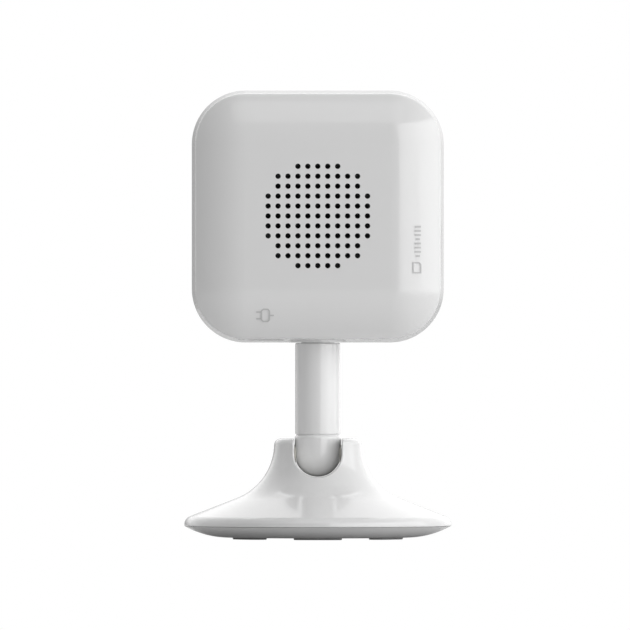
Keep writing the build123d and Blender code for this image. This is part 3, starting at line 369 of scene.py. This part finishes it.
finishedNodes = {
    "whiteGloss": ["base_shell", "base_plate", "rear_housing", "front_housing"],
    "whiteStem": ["stem_tube", "tilt_knuckle"],
    "whiteInner": ["hinge_yoke"],
    "windowBlack": ["front_window"],
    "trimBlack": ["lens_trim_ring", "image_sensor"],
    "mattBlack": [
        "lens_barrel", "lens_holder", "filter_changer", "filter_slider", "speaker_frame", "card_ejector",
    ],
    "footRubber": ["base_feet"],
    "blackRubber": ["microphone_boot", "speaker_leads", "antenna_lead"],
    "nylon": ["tilt_washers", "swivel_washer", "speaker_socket", "reset_button"],
    "boardGreen": ["main_board"],
    "boardBlack": ["led_board"],
    "chipBlack": ["board_chips", "reset_switch"],
    "ledClear": ["infrared_leds", "light_sensor", "status_led"],
    "padBlue": ["thermal_pad"],
    "conePaper": ["speaker_cone"],
    "foam": ["speaker_gasket"],
    "flexAmber": ["wifi_antenna"],
    "steel": [
        "yoke_screws", "tilt_pin", "tilt_nut", "base_screws", "base_weight", "swivel_plate", "swivel_screw",
        "board_screws", "led_board_screws",
    ],
    "nickel": ["base_magnet", "shield_can", "microphone", "speaker_magnet", "usb_receptacle", "card_socket"],
    "aluminium": ["heat_spreader"],
    "brass": ["antenna_plug"],
    "lensGlass": ["lens_cover_glass", "lens_elements"],
    "filterGlass": ["filter_panes"],
}
painted = []
for finish, names in finishedNodes.items():
    for name in names:
        nodes[name].data.materials.clear()
        nodes[name].data.materials.append(finishes[finish])
        painted.append(name)
assert sorted(painted) == sorted(nodes)
print("finishes on", len(painted), "parts")

# ---- geometry node helpers
socketTypes = {"FLOAT": "NodeSocketFloat", "INT": "NodeSocketInt", "MATERIAL": "NodeSocketMaterial"}


class Tree:
    # a geometry node tree with short calls for adding nodes and linking them

    def __init__(self, name, inputs):
        self.tree = bpy.data.node_groups.new(name, "GeometryNodeTree")
        self.names = {}
        for label, kind in inputs.items():
            socket = self.tree.interface.new_socket(label, in_out="INPUT", socket_type=socketTypes[kind])
            self.names[label] = socket.identifier
        self.tree.interface.new_socket("Geometry", in_out="OUTPUT", socket_type="NodeSocketGeometry")
        self.start = self.tree.nodes.new("NodeGroupInput").outputs
        self.end = self.tree.nodes.new("NodeGroupOutput").inputs

    def add(self, kind, feeds=None, **settings):
        return addNode(self.tree, kind, feeds, **settings)

    def math(self, operation, *values):
        return addMath(self.tree, operation, *values)

    def times(self, *values):
        product = values[0]
        for value in values[1:]:
            product = self.math("MULTIPLY", product, value)
        return product

    def vector(self, x=0.0, y=0.0, z=0.0):
        return self.add("ShaderNodeCombineXYZ", {0: x, 1: y, 2: z})[0]

    def position(self):
        return self.add("ShaderNodeSeparateXYZ", {0: self.add("GeometryNodeInputPosition")[0]})

    def place(self, points, instance, **feeds):
        # instances on points, made real
        feeds.update({"Points": points, "Instance": instance})
        copies = self.add("GeometryNodeInstanceOnPoints", feeds)[0]
        return self.add("GeometryNodeRealizeInstances", {0: copies})[0]

    def join(self, *parts):
        node = self.tree.nodes.new("GeometryNodeJoinGeometry")
        for part in reversed(parts):
            self.tree.links.new(part, node.inputs[0])
        return node.outputs[0]

    def sweep(self, curves, radius, sides, capped):
        profile = self.add("GeometryNodeCurvePrimitiveCircle", {"Resolution": sides, "Radius": radius})[0]
        feeds = {"Curve": curves, "Profile Curve": profile, "Fill Caps": capped}
        return self.add("GeometryNodeCurveToMesh", feeds)[0]

    def face(self, geometry, material, **feeds):
        feeds.update({"Geometry": geometry, "Material": self.start[material]})
        return self.add("GeometryNodeSetMaterial", feeds)[0]

    def finish(self, geometry, second=None):
        # ends in real geometry with its material, and a second material where the named attribute says so
        whole = self.add("GeometryNodeRealizeInstances", {0: geometry})[0]
        faced = self.face(whole, "Material")
        if second:
            label, attribute = second
            chosen = self.add("GeometryNodeInputNamedAttribute", {"Name": attribute}, data_type="BOOLEAN")[0]
            faced = self.face(faced, label, Selection=chosen)
        self.tree.links.new(faced, self.end[0])


def addPiece(name, mesh, body):
    mesh.name = name
    piece = bpy.data.objects.new(name, mesh)
    scene.collection.objects.link(piece)
    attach(piece, body)
    return piece


def settle(name, tree, values, shift):
    # runs the tree once and keeps its result as a plain mesh, moved to its place
    carrier = bpy.data.objects.new(name + "Carrier", bpy.data.meshes.new(name + "Carrier"))
    scene.collection.objects.link(carrier)
    modifier = carrier.modifiers.new("nodes", "NODES")
    modifier.node_group = tree.tree
    for label, value in values.items():
        modifier[tree.names[label]] = value
    bpy.context.view_layer.update()
    evaluated = carrier.evaluated_get(bpy.context.evaluated_depsgraph_get())
    mesh = bpy.data.meshes.new_from_object(evaluated)
    carrier.modifiers.remove(modifier)
    bpy.data.objects.remove(carrier)
    mesh.transform(Matrix.Translation(shift))
    return mesh


def meshFrom(name, shape, finish):
    bmesh.ops.recalc_face_normals(shape, faces=shape.faces)
    mesh = bpy.data.meshes.new(name)
    shape.to_mesh(mesh)
    shape.free()
    mesh.materials.append(finishes[finish])
    return mesh


headMiddle = boxOf("rear_housing")[2].z
backFace = boxOf("rear_housing")[1].y

# ---- speaker cloth: a fine weave stretched behind the grille
cloth = {
    "radius": mm(12.4),
    "pitch": mm(0.6),
    "thread": mm(0.13),
    "wave": mm(0.1),
    "behindGrille": mm(0.35),
    "shortest": 0.002,          # square of the shortest thread's share of the width
}
grilleInside = mm(13.2)         # inner face of the rear housing's back


def clothTree():
    tree = Tree("speakerCloth", {
        "Radius": "FLOAT", "Pitch": "FLOAT", "Thread": "FLOAT", "Wave": "FLOAT", "Material": "MATERIAL",
    })
    radius, pitch = tree.start["Radius"], tree.start["Pitch"]
    across = tree.math("FLOOR", tree.math("DIVIDE", tree.times(radius, 2.0), pitch))
    count = tree.math("ADD", across, 1.0)
    half = tree.times(across, pitch, 0.5)
    weaves = []
    for along, other, side in (("x", "z", 1.0), ("z", "x", -1.0)):
        line = tree.add("GeometryNodeCurvePrimitiveLine", {
            "Start": tree.vector(**{along: tree.times(radius, -1.0)}), "End": tree.vector(**{along: radius}),
        })[0]
        thread = tree.add("GeometryNodeResampleCurve", {"Curve": line, "Count": tree.times(count, 2.0)})[0]
        row = tree.add("GeometryNodeMeshLine", {
            "Count": count, "Start Location": tree.vector(**{other: tree.times(half, -1.0)}),
            "Offset": tree.vector(**{other: pitch}),
        })[0]
        ratio = tree.math("DIVIDE", tree.position()["XYZ".index(other.upper())], radius)
        room = tree.math("SUBTRACT", 1.0, tree.times(ratio, ratio))
        chord = tree.math("SQRT", tree.math("MAXIMUM", room, cloth["shortest"]))
        size = tree.vector(**{along: chord, other: 1.0, "y": 1.0})
        placed = tree.place(row, thread, Scale=size)
        here = tree.position()
        sums = tree.math("ADD", tree.math("ADD", here[0], here[2]), tree.times(half, 2.0))
        turn = tree.times(tree.math("DIVIDE", sums, pitch), pi)
        lift = tree.times(tree.math("COSINE", turn), tree.times(tree.start["Wave"], side))
        wavy = {"Geometry": placed, "Offset": tree.vector(y=lift)}
        weaves.append(tree.add("GeometryNodeSetPosition", wavy)[0])
    tree.finish(tree.sweep(tree.join(*weaves), tree.start["Thread"], 4, True))
    return tree


clothMesh = settle("speaker_cloth", clothTree(), {
    "Radius": cloth["radius"], "Pitch": cloth["pitch"], "Thread": cloth["thread"], "Wave": cloth["wave"],
    "Material": finishes["speakerCloth"],
}, (0, grilleInside - cloth["behindGrille"], headMiddle))
addPiece("speaker_cloth", clothMesh, "head")
print("speaker cloth woven:", len(clothMesh.polygons), "faces")

# ---- marks on the back: a plug above the power inlet, a card and its contacts by the card slot; the raised lines get a grey tone, painted shade standing in for the shade along their edges
marks = {
    "line": mm(0.32),
    "lift": mm(0.135),          # top of a line above the back
    "root": mm(0.05),
    "step": mm(0.3),            # longest stretch between two points of a line
    "flatHalf": mm(17.55),      # half width of the back's flat middle
    "curve": mm(18.0),          # radius of its margin
    "mitreLimit": 0.5,
}
plugMark = {
    "x": mm(13.4), "z": mm(53.6),
    "bodyShift": mm(-0.9), "bodyWidth": mm(1.9), "bodyHeight": mm(2.9), "bodyCut": mm(0.4),
    "prongSpread": mm(0.8), "prongs": (mm(0.2), mm(1.3)), "lead": (mm(-2.9), mm(-2.0)),
}
cardMark = {
    "x": mm(-23.7), "z": mm(65.0),
    "halfWidth": mm(0.9), "halfHeight": mm(1.2), "corner": mm(0.45),
    "contacts": 8, "firstContact": mm(2.8), "contactPitch": mm(1.0), "contactShift": mm(-0.2),
    "contactLine": mm(0.42), "longReach": mm(0.75), "shortReach": mm(0.5), "shortEvery": 4,
}


def backSurface(x, z):
    beyond = max(abs(x), abs(z - headMiddle)) - marks["flatHalf"]
    if beyond <= 0:
        return backFace
    return backFace - marks["curve"] + sqrt(marks["curve"] ** 2 - beyond**2)


def lineStops(points, closed):
    # the points of a line, with more between those that lie far apart
    stops = []
    count = len(points)
    for index in range(count if closed else count - 1):
        a, b = Vector(points[index]), Vector(points[(index + 1) % count])
        pieces = max(1, round((b - a).length / marks["step"]))
        stops += [a.lerp(b, part / pieces) for part in range(pieces)]
    if not closed:
        stops.append(Vector(points[-1]))
    return stops


def addLine(shape, points, width, closed=False):
    # a flat line of even width laid on the back along the points
    stops = lineStops(points, closed)
    rings = []
    for index, stop in enumerate(stops):
        runs = []
        if closed or index:
            runs.append((stop - stops[index - 1]).normalized())
        if closed or index < len(stops) - 1:
            runs.append((stops[(index + 1) % len(stops)] - stop).normalized())
        along = sum(runs, Vector((0, 0))).normalized()
        mitre = max(along.dot(runs[0]), marks["mitreLimit"])
        side = Vector((-along.y, along.x)) * width / 2 / mitre
        ring = []
        for place, height in ((side, "lift"), (-side, "lift"), (-side, "root"), (side, "root")):
            x, z = stop + place
            ring.append(shape.verts.new((x, backSurface(x, z) + marks[height], z)))
        rings.append(ring)
    for index in range(len(rings) if closed else len(rings) - 1):
        here, there = rings[index], rings[(index + 1) % len(rings)]
        for corner in range(4):
            following = (corner + 1) % 4
            shape.faces.new((here[corner], here[following], there[following], there[corner]))
    if not closed:
        shape.faces.new(rings[0])
        shape.faces.new(reversed(rings[-1]))


def cutFrame(x, z, w, h, cut):
    # corners of an upright frame with its corners cut, from its half width and half height
    return [
        (x - w + cut, z - h), (x + w - cut, z - h), (x + w, z - h + cut), (x + w, z + h - cut),
        (x + w - cut, z + h), (x - w + cut, z + h), (x - w, z + h - cut), (x - w, z - h + cut),
    ]


def addPlugMark(shape, look):
    x, z = look["x"], look["z"]
    body = cutFrame(x + look["bodyShift"], z, look["bodyWidth"] / 2, look["bodyHeight"] / 2, look["bodyCut"])
    addLine(shape, body, marks["line"], closed=True)
    for level in (z - look["prongSpread"], z + look["prongSpread"]):
        addLine(shape, [(x + reach, level) for reach in look["prongs"]], marks["line"])
    addLine(shape, [(x + reach, z) for reach in look["lead"]], marks["line"])


def addCardMark(shape, look):
    x, z, w, h = look["x"], look["z"], look["halfWidth"], look["halfHeight"]
    corner = look["corner"]
    square = [(x - w, z - h), (x + w, z - h), (x + w, z + h)]
    bevel = [(x - w + corner, z + h), (x - w, z + h - corner)]
    addLine(shape, square + bevel, marks["line"], closed=True)
    middle = x + look["contactShift"]
    for contact in range(look["contacts"]):
        reach = look["longReach"] if contact % look["shortEvery"] else look["shortReach"]
        level = z + look["firstContact"] + contact * look["contactPitch"]
        addLine(shape, [(middle - reach, level), (middle + reach, level)], look["contactLine"])


markShape = bmesh.new()
addPlugMark(markShape, plugMark)
addCardMark(markShape, cardMark)
addPiece("moulded_marks", meshFrom("moulded_marks", markShape, "etchedGrey"), "head")
print("marks laid on the back")

# ---- bead that closes the groove between the stem's tube and its knuckle
bead = {
    "inner": mm(4.4),
    "outer": mm(5.28),
    "foot": mm(5.02),           # outer radius at the bead's lower edge
    "drop": mm(0.42),
    "bulge": mm(0.06),
    "turns": 96,
    "steps": 6,
    "smoothBetween": (0.1, 0.95),       # only faces neither upright nor level are shaded smooth
}


def makeBead(look):
    tubeFoot = boxOf("stem_tube")[0].z
    profile = [(look["inner"], 0.0)]
    for step in range(look["steps"] + 1):
        part = step / look["steps"]
        sag = look["bulge"] * sin(pi * part)
        profile.append((look["outer"] - (look["outer"] - look["foot"]) * part - sag, -look["drop"] * part))
    profile.append((look["inner"], -look["drop"]))
    shape = bmesh.new()
    rings = []
    for turn in range(look["turns"]):
        angle = 2 * pi * turn / look["turns"]
        rings.append([shape.verts.new((r * cos(angle), r * sin(angle), tubeFoot + z)) for r, z in profile])
    for turn, ring in enumerate(rings):
        following = rings[(turn + 1) % len(rings)]
        for corner in range(len(profile)):
            nearby = (corner + 1) % len(profile)
            shape.faces.new((ring[corner], following[corner], following[nearby], ring[nearby]))
    mesh = meshFrom("stem_bead", shape, "whiteStem")
    upright, level = look["smoothBetween"]
    for face in mesh.polygons:
        face.use_smooth = upright < abs(face.normal.z) < level
    return mesh


addPiece("stem_bead", makeBead(bead), "stem")

# ---- small parts on the main board's rear side
smallParts = {
    "columns": 9,
    "rows": 17,
    "pitch": mm(2.3),
    "length": mm(1.0),
    "share": 0.62,              # share of the places that are filled
    "seed": 7,
    "body": (0.6, 0.4, 0.5),    # sizes of the body and of its end caps, as shares of the length
    "cap": (0.2, 0.44, 0.54),
    "capShift": 0.4,
    "seat": 0.23,               # how far the part's middle stands off the board, as such a share
    "raise": mm(1.0),
}
boardRear = boxOf("main_board")[1].y


def smallPartsTree(look):
    tree = Tree("smallParts", {
        "Columns": "INT", "Rows": "INT", "Pitch": "FLOAT", "Length": "FLOAT", "Share": "FLOAT", "Seed": "INT",
        "Material": "MATERIAL", "Cap Material": "MATERIAL",
    })
    length, pitch = tree.start["Length"], tree.start["Pitch"]
    columns, rows, seed = tree.start["Columns"], tree.start["Rows"], tree.start["Seed"]
    cubes = []
    for shares in (look["body"], look["cap"]):
        size = tree.vector(*[tree.times(length, share) for share in shares])
        cubes.append(tree.add("GeometryNodeMeshCube", {"Size": size})[0])
    body, cap = cubes
    caps = []
    for share in (-look["capShift"], look["capShift"]):
        shift = tree.vector(x=tree.times(length, share))
        moved = tree.add("GeometryNodeTransform", {"Geometry": cap, "Translation": shift})[0]
        caps.append(tree.add(
            "GeometryNodeStoreNamedAttribute", {"Geometry": moved, "Name": "cap", "Value": True},
            data_type="BOOLEAN", domain="FACE",
        )[0])
    part = tree.join(body, *caps)
    grid = tree.add("GeometryNodeMeshGrid", {
        "Size X": tree.times(tree.math("SUBTRACT", columns, 1.0), pitch),
        "Size Y": tree.times(tree.math("SUBTRACT", rows, 1.0), pitch),
        "Vertices X": columns, "Vertices Y": rows,
    })[0]
    upright = tree.add("GeometryNodeTransform", {"Geometry": grid, "Rotation": (pi / 2, 0, 0)})[0]
    chance = tree.add("FunctionNodeRandomValue", {"Seed": seed}, data_type="FLOAT")[1]
    kept = tree.math("LESS_THAN", chance, tree.start["Share"])
    turned = tree.add("FunctionNodeRandomValue", {
        "Min": 0, "Max": 1, "Seed": tree.math("ADD", seed, 1.0),
    }, data_type="INT")[2]
    quarter = tree.vector(y=tree.times(turned, pi / 2))
    placed = tree.place(upright, part, Selection=kept, Rotation=quarter)
    tree.finish(placed, second=("Cap Material", "cap"))
    return tree


smallPartsMesh = settle("board_small_parts", smallPartsTree(smallParts), {
    "Columns": smallParts["columns"], "Rows": smallParts["rows"], "Pitch": smallParts["pitch"],
    "Length": smallParts["length"], "Share": smallParts["share"], "Seed": smallParts["seed"],
    "Material": finishes["resistorBody"], "Cap Material": finishes["solder"],
}, (0, boardRear + smallParts["seat"] * smallParts["length"], headMiddle + smallParts["raise"]))
addPiece("board_small_parts", smallPartsMesh, "head")

# ---- light-trap rings behind the lens's cover glass, each a little smaller than the last
lightTrap = {
    "outer": mm(4.95), "inner": mm(4.3), "rings": 5, "pitch": mm(0.34), "thread": mm(0.16),
    "behindGlass": mm(0.2),
}
trapFront = boxOf("lens_cover_glass")[1].y + lightTrap["behindGlass"]


def lightTrapTree():
    tree = Tree("lightTrap", {
        "Outer": "FLOAT", "Inner": "FLOAT", "Rings": "INT", "Pitch": "FLOAT", "Thread": "FLOAT",
        "Material": "MATERIAL",
    })
    rings, thread = tree.start["Rings"], tree.start["Thread"]
    row = tree.add("GeometryNodeMeshLine", {"Count": rings, "Offset": tree.vector(y=tree.start["Pitch"])})[0]
    ring = tree.add("GeometryNodeCurvePrimitiveCircle", {"Resolution": 64, "Radius": 1.0})[0]
    ring = tree.add("GeometryNodeTransform", {"Geometry": ring, "Rotation": (pi / 2, 0, 0)})[0]
    part = tree.math("DIVIDE", tree.add("GeometryNodeInputIndex")[0], tree.math("SUBTRACT", rings, 1.0))
    outer = tree.math("SUBTRACT", tree.start["Outer"], thread)
    inner = tree.math("ADD", tree.start["Inner"], thread)
    radius = tree.math("ADD", outer, tree.times(part, tree.math("SUBTRACT", inner, outer)))
    lines = tree.place(row, ring, Scale=tree.vector(radius, radius, radius))
    tree.finish(tree.sweep(lines, thread, 8, False))
    return tree


trapMesh = settle("lens_light_trap", lightTrapTree(), {
    "Outer": lightTrap["outer"], "Inner": lightTrap["inner"], "Rings": lightTrap["rings"],
    "Pitch": lightTrap["pitch"], "Thread": lightTrap["thread"], "Material": finishes["mattBlack"],
}, (0, trapFront, headMiddle))
addPiece("lens_light_trap", trapMesh, "head")
print("board parts and lens rings made")
